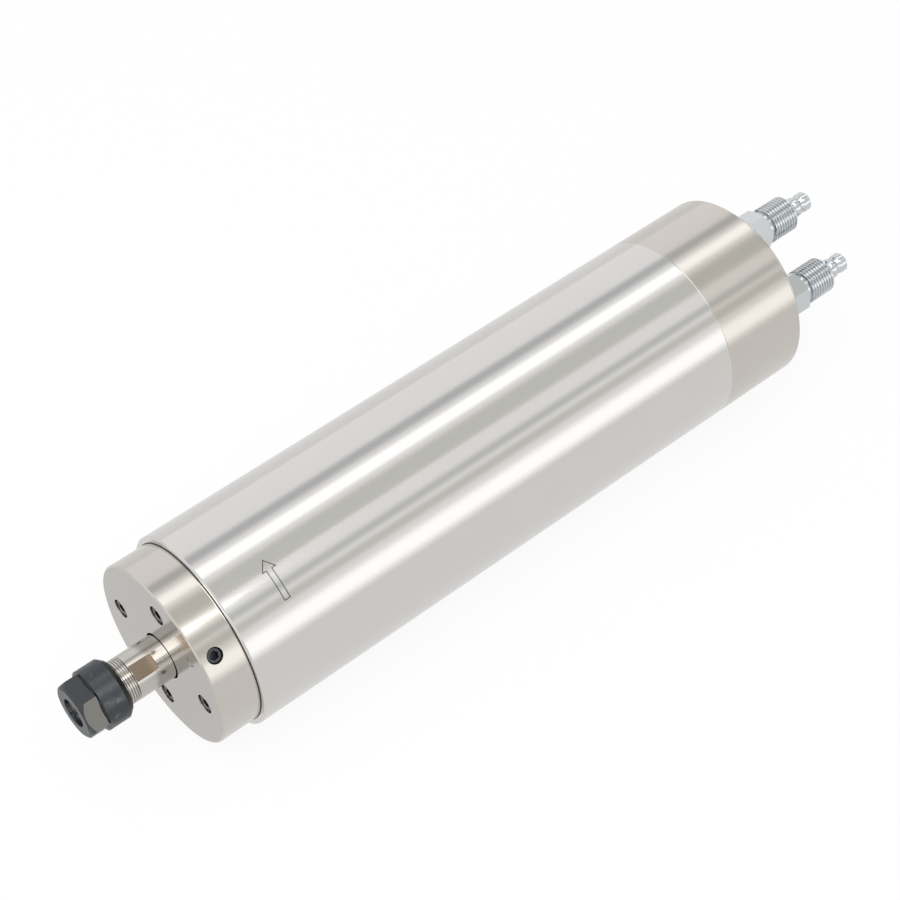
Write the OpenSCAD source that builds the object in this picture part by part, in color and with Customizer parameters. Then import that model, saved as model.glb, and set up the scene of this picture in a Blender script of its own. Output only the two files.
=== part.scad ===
// Water-cooled motor spindle with a collet nose, lying along X.
// Nose towards -X, rear towards +X, origin on the axis at the middle of the sleeve.
// Angles round the axis run from +Z towards -Y.

/* [Body] */
// Outside diameter of the sleeve and of the rear cap
body_d = 62; // [60:0.5:66]
// Length of the sleeve and the rear cap together
body_len = 210; // [200:1:230]
// Length of the rear cap
rear_cap_len = 29.8; // [28:0.1:34]
// Wall of the sleeve
sleeve_wall = 3.5; // [3:0.1:4]
// Chamfer on the outer edges of the sleeve and caps
edge_break = 0.45; // [0.2:0.05:0.8]

/* [Front cap] */
// Diameter of the front cap
cap_d = 58.2; // [56:0.1:59]
// Length of the front cap
cap_len = 12.6; // [12:0.1:14]
// Thickness of the cap's front wall round the shaft
cap_wall = 3.4; // [2.8:0.1:4]
// Diameter of the shaft opening in the cap
cap_bore_d = 15; // [14.6:0.1:16]
// Pitch circle of the four cap screws
cap_screw_pcd = 40.4; // [39.6:0.2:42]
// Counterbore for a cap screw head
cap_cbore_d = 6.1; // [5.8:0.1:6.4]
// Turn of the cap's hole pattern from the top
cap_turn = 2.4; // [0:0.1:10]
// Distance of the bleed screw from the front face
bleed_x = 4.7; // [4:0.1:5.4]
// Diameter of the bleed screw
bleed_d = 4.8; // [4:0.1:5]
// Radius at which the plugged coolant passage runs
passage_rho = 21.4; // [20.8:0.1:22]

/* [Shaft nose] */
// Diameter of the threaded nose
nose_d = 14; // [13.8:0.05:14.2]
// Distance of the nose end in front of the cap
nose_len = 24.3; // [24:0.1:28]
// Pitch of the nose thread
nose_pitch = 0.75; // [0.5:0.05:1]
// Distance over the two spanner flats
flat_af = 13; // [12.4:0.1:13.4]
// Length of the spanner flats
flat_len = 7.2; // [5:0.1:8]
// Distance from the cap to the flats
flat_gap = 4.4; // [3.5:0.1:6]
// Turn of the spanner flats
flat_turn = 31.8; // [0:0.1:90]

/* [Collet and nut] */
// Bore of the collet, for the tool shank
tool_d = 3.175; // [2:0.005:6]
// Width of a slit in the collet
slit_w = 0.4; // [0.3:0.05:0.6]
// Length of the collet
collet_len = 18; // [17:0.1:18.2]
// Distance over the flats of the nut
nut_af = 16.4; // [16:0.1:17]
// Diameter of the nut's round collar
nut_d = 19; // [18.6:0.1:20]
// Length of the nut
nut_len = 14.4; // [13.6:0.1:15]
// Length of the hexagon
nut_hex_len = 5.2; // [4:0.1:6]
// Opening in the nut's front face
nut_open_d = 9; // [7:0.1:9.4]
// Turn of the hexagon
nut_turn = 28.5; // [0:0.1:60]

/* [Motor] */
// Outside diameter of the rotor core
rotor_d = 24.4; // [23:0.1:25]
// Air gap between rotor and stator
air_gap = 0.3; // [0.25:0.05:0.6]
// Radial wall of the coolant jacket
jacket_wall = 3.95; // [3.6:0.05:4.4]
// Depth of the coolant channels
channel_depth = 2.25; // [1.6:0.05:2.4]
// Number of slots in the stator
slots = 12; // [12:6:18]
// Length of the winding ends
winding_end = 12; // [10:0.5:13]

/* [Rear] */
// How far the rear plate stands behind the rear cap
plate_step = 1.8; // [1:0.1:2.5]
// Pitch radius of the water fittings
fitting_rho = 18.7; // [18.4:0.1:19]
// Angle of the outlet fitting
outlet_a = -1.7; // [-6:0.1:2]
// Angle of the inlet fitting
inlet_a = 73.3; // [70:0.1:77]
// Distance over the flats of a fitting's hexagon
fitting_af = 12; // [11.8:0.1:13]
// Length of a fitting's hexagon
fitting_hex_len = 8.1; // [7:0.1:10]
// Diameter of a fitting's hose-nut thread
fitting_thread_d = 11.8; // [11.4:0.1:12]
// Pitch radius of the power socket
socket_rho = 12.5; // [12.2:0.1:12.6]
// Angle of the power socket
socket_a = 215.8; // [214:0.1:218]

/* [Fits] */
// Radial gap of a seated joint between fixed pieces
seat_gap = 0.02; // [0.01:0.01:0.04]
// Radial gap of the housings and jacket in the sleeve
sleeve_gap = 0.05; // [0.02:0.01:0.08]
// Gap between a running piece and the fixed piece round it
run_gap = 0.05; // [0.03:0.01:0.08]
// Depth of the engraved arrow
engrave = 0.12; // [0.06:0.02:0.2]

/* [Hidden] */
$fn = 72;
body_r = body_d/2;
bore_r = body_r - sleeve_wall;
inner_r = bore_r - sleeve_gap;
cap_r = cap_d/2;
nose_r = nose_d/2;
plate_r = body_r - 2;
cavity_r = body_r - 6.5;
spigot_r = inner_r - 3.45;

// Stations along the axis, counted from the front face of the cap
rim_x = cap_len + body_len;
seam_x = rim_x - rear_cap_len;
origin_x = (cap_len + seam_x)/2;
nose_x = -nose_len;
fit_reg = 2;
bearing_x = cap_len + fit_reg;
f_brg_w = 9;
spacer_w = 3;
shoulder_x = bearing_x + 2*f_brg_w + spacer_w;
fh_x1 = cap_len + 28.5;
spigot = 4;
rh_x1 = seam_x - spigot;
rh_x0 = rh_x1 - 20;
r_brg_w = 8;
spring_x = rh_x0 + 2;
rb_x = spring_x + 2;
plate_x = rim_x - 5.5;
plate_x1 = rim_x + plate_step;
core_x0 = fh_x1 + winding_end + 10;
core_x1 = rh_x0 - winding_end - 8;
rotor_x0 = core_x0 - 2;
rotor_x1 = core_x1 + 2;
end_ring_w = 4;
shaft_end = rh_x1 + 7;

// Radii of the bearings
f_in = 7.5;
f_out = 16;
f_pitch = 11.75;
r_in = 6;
r_out = 14;
r_pitch = 10;
ball_r = 2.38;
f_balls = 11;
r_balls = 10;

// Motor
rotor_r = rotor_d/2;
stator_in = rotor_r + air_gap;
jacket_in = inner_r - jacket_wall;
stator_out = jacket_in - sleeve_gap;
channel_r = inner_r - channel_depth;
slot_w = slots > 12 ? 1.9 : 2.6;
slot_r1 = stator_in + 6.8;
wind_in = rotor_r + 1.6;
wind_out = stator_out - 2;
seat_r = 8;

// Nose and collet
taper = 8;
taper_mouth = 5.65;
taper_len = 14.8;
drill_r = 3.3;
thread_depth = 0.4;
thread_end = -(flat_gap + flat_len + 0.1);
nut_x1 = nose_x + 9;
nut_x0 = nut_x1 - nut_len;
collet_x0 = nose_x - 4.3;
collet_x1 = collet_x0 + collet_len;
tool_r = tool_d/2;

// Screws
m3 = 1.5;
m4 = 2;
hole_gap = 0.03;
cap_cbore = 3.4;
plate_rho = plate_r - 3.1;
rear_screw_rho = cavity_r - 2.8;
rear_screw_a = [35.8, 155.8, 275.8];
bleed_r = bleed_d/2;
passage_a = cap_turn + 45;
passage_r = 1.2;
plug_len = 2.2;
bleed_floor = cap_r - 6;

// Coolant passages
tube_ro = 3.6;
tube_ri = 2;
tube_x0 = rh_x1 - 5;
stem_x = plate_x - 3;
port_x = rh_x0 + 5;
chan_x0 = fh_x1 + 5;
chan_x1 = rh_x0 - 5;
chan_n = 12;
chan_step = (360 + outlet_a - inlet_a)/(chan_n - 1);
chan_w = channel_r*chan_step*PI/180*0.74;
port_w = 3.6;
gate_r = norm([channel_r, chan_w/2]) + 0.05;
gate_w = 8;

// Fitting stations
wash_x = plate_x1;
wash_t = 1;
fhex_x0 = wash_x + wash_t;
fhex_x1 = fhex_x0 + fitting_hex_len;
fthr_x0 = fhex_x1 + 1.7;
fthr_n = 9;
fthr_p = 1.08;
fthr_x1 = fthr_x0 + fthr_n*fthr_p;
fthr_r = fitting_thread_d/2;
fit_bore = 1.6;
stem_r = 4;
stem_clear = 0.4;

// Power socket
sock_hole = 7.8;
sock_in = 6.6;
sock_flange = 9.4;
sock_nut_af = 19;
sock_x1 = plate_x1 + 9.2;
pin_ring = 3.2;
pin_r = 1;
lead_r = 1;
lead_rho = wind_out - 1.95;
lead_clear = 0.9;
earth_a = socket_a + 28;
cup_x = plate_x - 8;

// Helpers

// A turned solid from [radius, x] points
module turned(pts) rotate([0, 90, 0]) rotate_extrude() polygon(pts);

// A ring between two radii and two stations
module ring(x0, x1, ri, ro) turned([[ri, x0], [ro, x0], [ro, x1], [ri, x1]]);

// A round bar along X
module rod(x0, x1, r) translate([x0, 0, 0]) rotate([0, 90, 0]) cylinder(h = x1 - x0, r = r);

// A hexagonal bar along X with corners at multiples of 60 degrees
module hex_rod(x0, x1, af)
    translate([x0, 0, 0]) rotate([0, 90, 0]) cylinder(h = x1 - x0, r = af/2/cos(30), $fn = 6);

// Part of a ring from angle a0 to a1
module sector(a0, a1, x0, x1, ri, ro)
    rotate([0, 90, 0]) rotate([0, 0, a0 + 180]) rotate_extrude(angle = a1 - a0)
        polygon([[ri, x0], [ro, x0], [ro, x1], [ri, x1]]);

// Moves a piece off the axis without turning it
module place(a, rho) translate([0, -rho*sin(a), rho*cos(a)]) children();

// Turns a piece round the axis, local Z pointing outwards
module at(a, rho = 0) rotate([a, 0, 0]) translate([0, 0, rho]) children();

// A round hole or bar pointing outwards from the axis
module spoke(x, a, r, z0, z1) at(a) translate([x, 0, z0]) cylinder(h = z1 - z0, r = r);

// A socket head screw with its head's outer face at x0
module cap_head_screw(x0, head_r, head_h, r, len, key)
    difference() {
        turned([[0, x0], [head_r - 0.25, x0], [head_r, x0 + 0.25], [head_r, x0 + head_h],
            [r, x0 + head_h], [r, x0 + head_h + len - 0.4], [r - 0.4, x0 + head_h + len],
            [0, x0 + head_h + len]]);
        hex_rod(x0 - 1, x0 + head_h*0.6, key);
    }

// Crests and roots of a thread drawn as rings
function ridges(x0, n, p, r1, r2) = [for (i = [0 : n - 1])
    each [[r2, x0 + (i + 0.1)*p], [r1, x0 + (i + 0.32)*p], [r1, x0 + (i + 0.68)*p],
        [r2, x0 + (i + 0.9)*p]]];

// Body

// Corners of the arrow's outline moved outwards by d, tip along +Y, foot of its head at y = 0
function arrow_pts(d, bar, wing, head, tail) =
    let (phi = atan2(wing, head), w = wing + d*(1 + sin(phi))/cos(phi))
    [[-bar - d, -tail - d], [bar + d, -tail - d], [bar + d, -d], [w, -d],
        [0, head + d/sin(phi)], [-w, -d], [-bar - d, -d]];

// Outline of the arrow that shows which way the shaft turns
module arrow() {
    line = 0.28;
    bar = 0.9;
    wing = 2.2;
    head = 3.05;
    tail = 9.4;
    intersection() {
        at(30.7) translate([cap_len + 17.25, 6.23 - head, body_r - 2]) difference() {
            linear_extrude(height = 3) polygon(arrow_pts(line/2, bar, wing, head, tail));
            translate([0, 0, -1]) linear_extrude(height = 5)
                polygon(arrow_pts(-line/2, bar, wing, head, tail));
        }
        ring(cap_len + 10, cap_len + 26, body_r - engrave, body_r + 2);
    }
}

module body_sleeve() color("#c4c3c1") difference() {
    turned([[bore_r, cap_len], [body_r - edge_break, cap_len], [body_r, cap_len + edge_break],
        [body_r, seam_x - 0.15], [body_r - 0.15, seam_x], [bore_r, seam_x]]);
    arrow();
}

module front_cap() color("#bdbab4") difference() {
    turned([[cap_bore_d/2, 0], [cap_r - edge_break, 0], [cap_r, edge_break],
        [cap_r, cap_len], [f_out - seat_gap, cap_len], [f_out - seat_gap, bearing_x],
        [13.2, bearing_x], [13.2, cap_len - 0.6], [12.6, cap_len - 0.6], [12.6, cap_wall],
        [cap_bore_d/2, cap_wall]]);
    for (i = [0 : 3]) place(cap_turn + 90*i, cap_screw_pcd/2) {
        rod(-1, cap_cbore, cap_cbore_d/2);
        rod(0, cap_len + 1, m3 + 0.15);
    }
    spoke(bleed_x, passage_a, bleed_r + hole_gap, bleed_floor, cap_r + 1);
    spoke(bleed_x, passage_a, passage_r + 0.2, passage_rho, cap_r);
    place(passage_a, passage_rho) {
        rod(-1, plug_len, m3 + hole_gap);
        rod(0, cap_len + 1, passage_r);
    }
}

module cap_screws() color("#3b3c3e")
    for (i = [0 : 3]) place(cap_turn + 90*i, cap_screw_pcd/2)
        cap_head_screw(cap_cbore - 3, 2.75, 3, m3, 15, 2.5);

module bleed_screw() color("#2b2c2e") at(passage_a) translate([bleed_x, 0, bleed_floor])
    difference() {
        h = cap_r - 0.7 - bleed_floor;
        rotate_extrude() polygon([[0, 0], [bleed_r - 0.5, 0], [bleed_r, 0.5], [bleed_r, h - 0.4],
            [bleed_r - 0.4, h], [0, h]]);
        translate([0, 0, h - 2.6]) rotate([0, 0, 12]) cylinder(h = 4, r = 1.25/cos(30), $fn = 6);
    }

module passage_plug() color("#a9a7a2") place(passage_a, passage_rho)
    turned([[0, 0.15], [m3 - 0.2, 0.15], [m3, 0.35], [m3, plug_len], [0, plug_len]]);

// Bearing housings, seals and jacket

module front_housing() color("#b0b2b4") difference() {
    turned([[f_out, cap_len], [inner_r, cap_len], [inner_r, cap_len + 4.8],
        [inner_r - 1.8, cap_len + 4.8], [inner_r - 1.8, cap_len + 7.2], [inner_r, cap_len + 7.2],
        [inner_r, fh_x1], [f_out - 2, fh_x1], [f_out - 2, fh_x1 - 2], [f_pitch + 0.25, fh_x1 - 2],
        [f_pitch + 0.25, shoulder_x],
        [f_out, shoulder_x]]);
    for (i = [0 : 3]) place(cap_turn + 90*i, cap_screw_pcd/2)
        rod(cap_len - 1, cap_len + 8, m3 + hole_gap);
    place(passage_a, passage_rho) rod(cap_len - 1, fh_x1 - 3.4, passage_r);
    spoke(fh_x1 - 4, passage_a, passage_r + 0.2, passage_rho - 1, inner_r + 1);
    sector(passage_a - 3.5, passage_a + 3.5, fh_x1 - 6, fh_x1 + 1, channel_r + 0.2, inner_r + 1);
}

// A rubber ring of round section lying in a groove
module o_ring(x, rc, r) rotate([0, 90, 0]) rotate_extrude()
    translate([rc, x]) circle(r = r, $fn = 24);

module front_o_ring() color("#26272a") o_ring(cap_len + 6, inner_r - 0.9, 0.9);

// A flat-bottomed groove along X, its floor at radius r
module groove(a, x0, x1, w, r) at(a) translate([x0, -w/2, r]) cube([x1 - x0, w, 8]);

module water_jacket() color("#a9acb0") difference() {
    turned([[jacket_in, fh_x1], [jacket_in + 0.35, fh_x1], [jacket_in + 0.35, fh_x1 + 1],
        [jacket_in + 1.35, fh_x1 + 1], [jacket_in + 1.35, fh_x1], [inner_r, fh_x1],
        [inner_r, rh_x0], [jacket_in + 1.35, rh_x0], [jacket_in + 1.35, rh_x0 - 1],
        [jacket_in + 0.35, rh_x0 - 1], [jacket_in + 0.35, rh_x0], [jacket_in, rh_x0]]);
    for (k = [0 : chan_n - 1]) groove(inlet_a + k*chan_step, chan_x0, chan_x1, chan_w, channel_r);
    for (k = [0 : chan_n - 2]) {
        a = inlet_a + k*chan_step;
        x0 = k % 2 == 0 ? chan_x0 - 0.4 : chan_x1 + 0.4 - gate_w;
        sector(a, a + chan_step, x0, x0 + gate_w, gate_r, inner_r + 1.3);
    }
    for (a = [inlet_a, outlet_a]) groove(a, chan_x1 - 1, rh_x0 + 1, port_w, channel_r + 0.2);
    groove(inlet_a, fh_x1 - 0.7, chan_x0 + 1, port_w, channel_r + 0.2);
    sector(passage_a - 3, inlet_a + 1, fh_x1 - 1, fh_x1 + 2.5, gate_r, inner_r + 1.6);
}

module jacket_seal_front() color("#26272a") o_ring(fh_x1 + 0.5, jacket_in + 0.85, 0.5);
module jacket_seal_rear() color("#26272a") o_ring(rh_x0 - 0.5, jacket_in + 0.85, 0.5);

module rear_housing() color("#b0b2b4") difference() {
    turned([[10, rh_x0], [inner_r, rh_x0], [inner_r, rh_x1 - 4.4], [inner_r - 1.8, rh_x1 - 4.4],
        [inner_r - 1.8, rh_x1 - 2], [inner_r, rh_x1 - 2], [inner_r, rh_x1], [r_out, rh_x1],
        [r_out, spring_x], [10, spring_x]]);
    for (a = [inlet_a, outlet_a]) {
        place(a, fitting_rho) {
            rod(tube_x0, rh_x1 + 1, tube_ro + hole_gap);
            rod(port_x, rh_x1, tube_ri);
        }
        spoke(port_x, a, 1.8, fitting_rho, inner_r + 1);
        sector(a - 5, a + 5, rh_x0 - 1, port_x + 2.4, channel_r + 0.2, inner_r + 1);
    }
    for (a = rear_screw_a) place(a, rear_screw_rho) rod(rh_x1 - 9, rh_x1 + 1, m4 + hole_gap);
    for (i = [-1 : 1]) place(socket_a + 8*i, lead_rho) rod(rh_x0 - 1, rh_x1 + 1, lead_r + 0.35);
    place(earth_a, lead_rho) rod(rh_x1 - 7, rh_x1 + 1, m3 + hole_gap);
}

module rear_o_ring() color("#26272a") o_ring(rh_x1 - 3.2, inner_r - 0.9, 0.9);

// Corrugated washer that pushes the rear bearings back
module preload_spring() color("#8f9194") for (i = [0 : 11]) {
    x0 = i % 2 == 0 ? spring_x : rb_x - 0.5;
    sector(30*i - 1, 30*i + 31, x0, x0 + 0.5, 11.8, r_out - 0.2);
    sector(30*i - 0.7, 30*i + 0.7, spring_x + 0.1, rb_x - 0.1, 11.9, r_out - 0.3);
}

// Stator

module stator_core() color("#5d6066") difference() {
    ring(core_x0, core_x1, stator_in, stator_out);
    for (i = [0 : slots - 1]) at(360/slots*i)
        translate([core_x0 - 1, -slot_w/2, stator_in - 1])
            cube([core_x1 - core_x0 + 2, slot_w, slot_r1 - stator_in + 1]);
}

module winding_ring(x0, x1) turned([[wind_in + 1, x0], [wind_out - 1, x0], [wind_out, x0 + 1],
    [wind_out, x1 - 1], [wind_out - 1, x1], [wind_in + 1, x1], [wind_in, x1 - 1],
    [wind_in, x0 + 1]]);

module stator_windings() color("#b5713a") {
    winding_ring(core_x0 - winding_end, core_x0);
    winding_ring(core_x1, core_x1 + winding_end);
    for (i = [0 : slots - 1]) at(360/slots*i)
        translate([core_x0 - 1.5, -slot_w/2 + 0.1, wind_in + 1.2])
            cube([core_x1 - core_x0 + 3, slot_w - 0.2, slot_r1 - wind_in - 1.3]);
}

// Rear end

module rear_cap() color("#bdbab4") difference() {
    turned([[spigot_r, rh_x1], [inner_r, rh_x1], [inner_r, seam_x], [body_r - 0.15, seam_x],
        [body_r, seam_x + 0.15], [body_r, rim_x - edge_break], [body_r - edge_break, rim_x],
        [plate_r + sleeve_gap, rim_x], [plate_r + sleeve_gap, plate_x], [cavity_r, plate_x],
        [cavity_r, seam_x + 3], [r_out + 2, seam_x + 3], [r_out + 2, seam_x],
        [spigot_r, seam_x]]);
    for (a = rear_screw_a) place(a, rear_screw_rho) rod(seam_x - 1, seam_x + 4, m4 + 0.2);
    for (a = [inlet_a, outlet_a]) place(a, fitting_rho) {
        rod(seam_x - 1, seam_x + 4, tube_ro + 0.4);
        rod(stem_x - 6.5, plate_x + 1, stem_r + stem_clear);
    }
    place(socket_a, socket_rho)
        rod(plate_x - 6.5, plate_x + 1, sock_nut_af/2/cos(30) + stem_clear);
    for (i = [-1 : 1]) place(socket_a + 8*i, lead_rho)
        rod(seam_x - 1, seam_x + 4, lead_r + lead_clear);
    sector(socket_a + 12, socket_a + 32, seam_x - 1, seam_x + 4, 10, 22);
    for (i = [0 : 3]) place(35.8 + 90*i, plate_rho) rod(plate_x - 9, plate_x + 1, m3 + hole_gap);
}

module rear_cap_screws() color("#3b3c3e") for (a = rear_screw_a) place(a, rear_screw_rho)
    mirror([1, 0, 0]) cap_head_screw(-(seam_x + 7), 2.6, 4, m4, 13, 2.5);

module rear_plate() color("#b7b6b2") difference() {
    turned([[0, plate_x], [plate_r, plate_x], [plate_r, plate_x1 - 0.4],
        [plate_r - 0.4, plate_x1], [0, plate_x1]]);
    for (a = [inlet_a, outlet_a]) place(a, fitting_rho)
        rod(plate_x - 1, plate_x1 + 1, stem_r + hole_gap);
    place(socket_a, socket_rho) rod(plate_x - 1, plate_x1 + 1, sock_hole + 0.1);
    for (i = [0 : 3]) place(35.8 + 90*i, plate_rho) {
        rod(plate_x - 1, plate_x1, m3 + 0.1);
        rod(plate_x1 - 2.2, plate_x1 + 1, 2.8);
    }
}

module rear_plate_screws() color("#8d8e90") for (i = [0 : 3]) place(35.8 + 90*i, plate_rho)
    mirror([1, 0, 0]) cap_head_screw(-(plate_x1 - 0.1), 2.7, 2.1, m3, 11, 2);

// One tube from a fitting to the rear housing
module water_tube() difference() {
    rod(tube_x0, stem_x, tube_ro);
    rod(tube_x0 - 1, stem_x + 1, tube_ri);
}
module water_tube_in() color("#9fb6c4") place(inlet_a, fitting_rho) water_tube();
module water_tube_out() color("#9fb6c4") place(outlet_a, fitting_rho) water_tube();

// Hose fitting with a hexagon, a nut thread and a two-bead nipple
module fitting(turn) difference() {
    union() {
        rod(stem_x - 6, stem_x + 1, tube_ri - seat_gap);
        rod(stem_x, fhex_x0 + 1, stem_r);
        intersection() {
            rotate([turn, 0, 0]) hex_rod(fhex_x0, fhex_x1, fitting_af);
            turned([[0, fhex_x0], [fitting_af/2, fhex_x0], [fitting_af*0.6, fhex_x0 + 0.6],
                [fitting_af*0.6, fhex_x1 - 0.6], [fitting_af/2, fhex_x1], [0, fhex_x1]]);
        }
        turned(concat([[0, fhex_x1 - 0.1], [5, fhex_x1 - 0.1], [5, fthr_x0]],
            ridges(fthr_x0, fthr_n, fthr_p, fthr_r, fthr_r - 0.55),
            [[fthr_r - 0.7, fthr_x1], [fthr_r - 1, fthr_x1 + 0.5], [fthr_r - 1.7, fthr_x1 + 0.95],
                [3.6, fthr_x1 + 1.1], [2.9, fthr_x1 + 1.2], [2.6, fthr_x1 + 1.7],
                [2.6, fthr_x1 + 2.2], [3.2, fthr_x1 + 2.9], [3.3, fthr_x1 + 3.4],
                [3.3, fthr_x1 + 4.1], [2.7, fthr_x1 + 4.8], [2.5, fthr_x1 + 5.2],
                [2.5, fthr_x1 + 5.6], [3, fthr_x1 + 6.2], [3.15, fthr_x1 + 6.7],
                [3.15, fthr_x1 + 8.6], [2.7, fthr_x1 + 9.1], [0, fthr_x1 + 9.1]]));
    }
    rod(stem_x - 7, fthr_x1 + 10, fit_bore - 0.4);
    rod(fhex_x0 + 2, fthr_x1 + 10, fit_bore);
}
module water_outlet() color("#d5d8da") place(outlet_a, fitting_rho) fitting(9.5);
module water_inlet() color("#d5d8da") place(inlet_a, fitting_rho) fitting(44.7);
module inlet_washer() color("#b9925a") place(inlet_a, fitting_rho)
    ring(wash_x, fhex_x0, stem_r + seat_gap, 6.4);
module outlet_washer() color("#b9925a") place(outlet_a, fitting_rho)
    ring(wash_x, fhex_x0, stem_r + seat_gap, 6.4);

// Power socket and wiring

module socket_shell() color("#cfd1d3") place(socket_a, socket_rho)
    turned(concat([[sock_in, plate_x - 6], [sock_hole, plate_x - 6], [sock_hole, plate_x1],
        [sock_flange, plate_x1], [sock_flange, plate_x1 + 1.6], [sock_flange - 0.4, plate_x1 + 2],
        [7.2, plate_x1 + 2]], ridges(plate_x1 + 2.2, 6, 1, 7.7, 7.2),
        [[7.1, sock_x1 - 0.4], [6.9, sock_x1], [sock_in, sock_x1]]));

module socket_nut() color("#c9cbcd") place(socket_a, socket_rho) difference() {
    hex_rod(plate_x - 3, plate_x, sock_nut_af);
    rod(plate_x - 4, plate_x + 1, sock_hole + seat_gap);
}

// Corner number i of the socket's square of pins
module pin_at(i) place(socket_a, socket_rho) place(45 + 90*i + socket_a, pin_ring) children();

module socket_insert() color("#1f2022") difference() {
    place(socket_a, socket_rho) rod(plate_x - 5, plate_x1 + 1.5, sock_in - seat_gap);
    for (i = [0 : 3]) pin_at(i) rod(plate_x - 6, plate_x1 + 2, pin_r + seat_gap);
}

module socket_pins() color("#d9b45a") for (i = [0 : 3]) pin_at(i) union() {
    turned([[0, cup_x + 2], [pin_r, cup_x + 2], [pin_r, sock_x1 - 1.8],
        [pin_r - 0.4, sock_x1 - 1.2], [0, sock_x1 - 1.2]]);
    ring(cup_x + 2, plate_x - 5, 0, pin_r + 0.25);
}

function spot(x, a, rho) = [x, -rho*sin(a), rho*cos(a)];
function pin_spot(x, i) = spot(0, socket_a, socket_rho) + spot(x, 45 + 90*i + socket_a, pin_ring);

// A round wire through a list of points
module wire(p, r) {
    for (i = [0 : len(p) - 2]) {
        d = p[i + 1] - p[i];
        translate(p[i]) rotate([0, acos(d[2]/norm(d)), atan2(d[1], d[0])])
            cylinder(h = norm(d), r = r, $fn = 24);
    }
    for (i = [1 : len(p) - 2]) translate(p[i]) rotate([0, 90, 0]) sphere(r = r + 0.15, $fn = 24);
}

module motor_leads() color("#b23a2e") {
    x0 = core_x1 + winding_end;
    for (j = [[-1, 3], [0, 2], [1, 0]]) {
        a = socket_a + 8*j[0];
        wire([spot(x0, a, lead_rho), spot(seam_x + 4.2, a, lead_rho),
            pin_spot(cup_x - 1, j[1]), pin_spot(cup_x + 2, j[1])], lead_r);
    }
}

module earth_lead() color("#4f8f3c") {
    a = earth_a - 10.2;
    wire([spot(rh_x1 + 0.4, a, lead_rho), spot(rh_x1 + 3, a, lead_rho),
        pin_spot(cup_x - 1, 1), pin_spot(cup_x + 2, 1)], lead_r);
    difference() {
        union() {
            place(earth_a, lead_rho) rod(rh_x1, rh_x1 + 0.9, 3.6);
            at(a + 2.2, lead_rho) translate([rh_x1, -2.3, -1.4]) cube([0.8, 4.6, 2.8]);
        }
        place(earth_a, lead_rho) rod(rh_x1 - 1, rh_x1 + 2, m3 + 0.1);
    }
}

module earth_screw() color("#c9a85c") place(earth_a, lead_rho)
    mirror([1, 0, 0]) cap_head_screw(-(rh_x1 + 2.9), 2.1, 2, m3, 7.5, 1.8);

// Bearings

module outer_race(x, w, ro, rp, gap = run_gap) difference() {
    turned([[rp + 1.75, x], [ro - 0.3 - seat_gap, x], [ro - seat_gap, x + 0.3],
        [ro - seat_gap, x + w - 0.3], [ro - 0.3 - seat_gap, x + w], [rp + 1.75, x + w]]);
    rotate([0, 90, 0]) rotate_extrude() translate([rp, x + w/2]) circle(r = ball_r + gap);
}

module inner_race(x, w, ri, rp, gap = run_gap) difference() {
    turned([[ri + seat_gap, x + 0.3], [ri + 0.3, x], [rp - 1.75, x], [rp - 1.75, x + w],
        [ri + 0.3, x + w], [ri + seat_gap, x + w - 0.3]]);
    rotate([0, 90, 0]) rotate_extrude() translate([rp, x + w/2]) circle(r = ball_r + gap);
}

// Ball cage together with its ring of balls
module cage(x, w, rp, n) {
    ring(x + w/2 - 3, x + w/2 + 3, rp - 0.9, rp + 0.9);
    for (i = [0 : n - 1]) at(360/n*i, rp) translate([x + w/2, 0, 0]) sphere(r = ball_r, $fn = 36);
}

fb_a = bearing_x;
fb_b = bearing_x + f_brg_w + spacer_w;
rb_a = rb_x;
rb_b = rb_x + r_brg_w;

module front_outer_race_a() color("#9a9da1") outer_race(fb_a, f_brg_w, f_out, f_pitch);
module front_outer_race_b() color("#9a9da1") outer_race(fb_b, f_brg_w, f_out, f_pitch);
module rear_outer_race_a() color("#9a9da1") outer_race(rb_a, r_brg_w, r_out, r_pitch);
module rear_outer_race_b() color("#9a9da1") outer_race(rb_b, r_brg_w, r_out, r_pitch);
module outer_spacer() color("#8a8d91")
    ring(fb_a + f_brg_w, fb_b, f_pitch + 1.9, f_out - seat_gap);
module front_cage_a() color("#c79a4a") cage(fb_a, f_brg_w, f_pitch, f_balls);
module front_cage_b() color("#c79a4a") cage(fb_b, f_brg_w, f_pitch, f_balls);
module rear_cage_a() color("#c79a4a") cage(rb_a, r_brg_w, r_pitch, r_balls);
module rear_cage_b() color("#c79a4a") cage(rb_b, r_brg_w, r_pitch, r_balls);
module front_inner_race_a() color("#9a9da1") inner_race(fb_a, f_brg_w, f_in, f_pitch);
module front_inner_race_b() color("#9a9da1") inner_race(fb_b, f_brg_w, f_in, f_pitch);
module rear_inner_race_a() color("#9a9da1") inner_race(rb_a, r_brg_w, r_in, r_pitch);
module rear_inner_race_b() color("#9a9da1") inner_race(rb_b, r_brg_w, r_in, r_pitch);
module inner_spacer() color("#8a8d91") ring(fb_a + f_brg_w, fb_b, f_in + seat_gap, f_pitch - 2);

// Rotor

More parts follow.
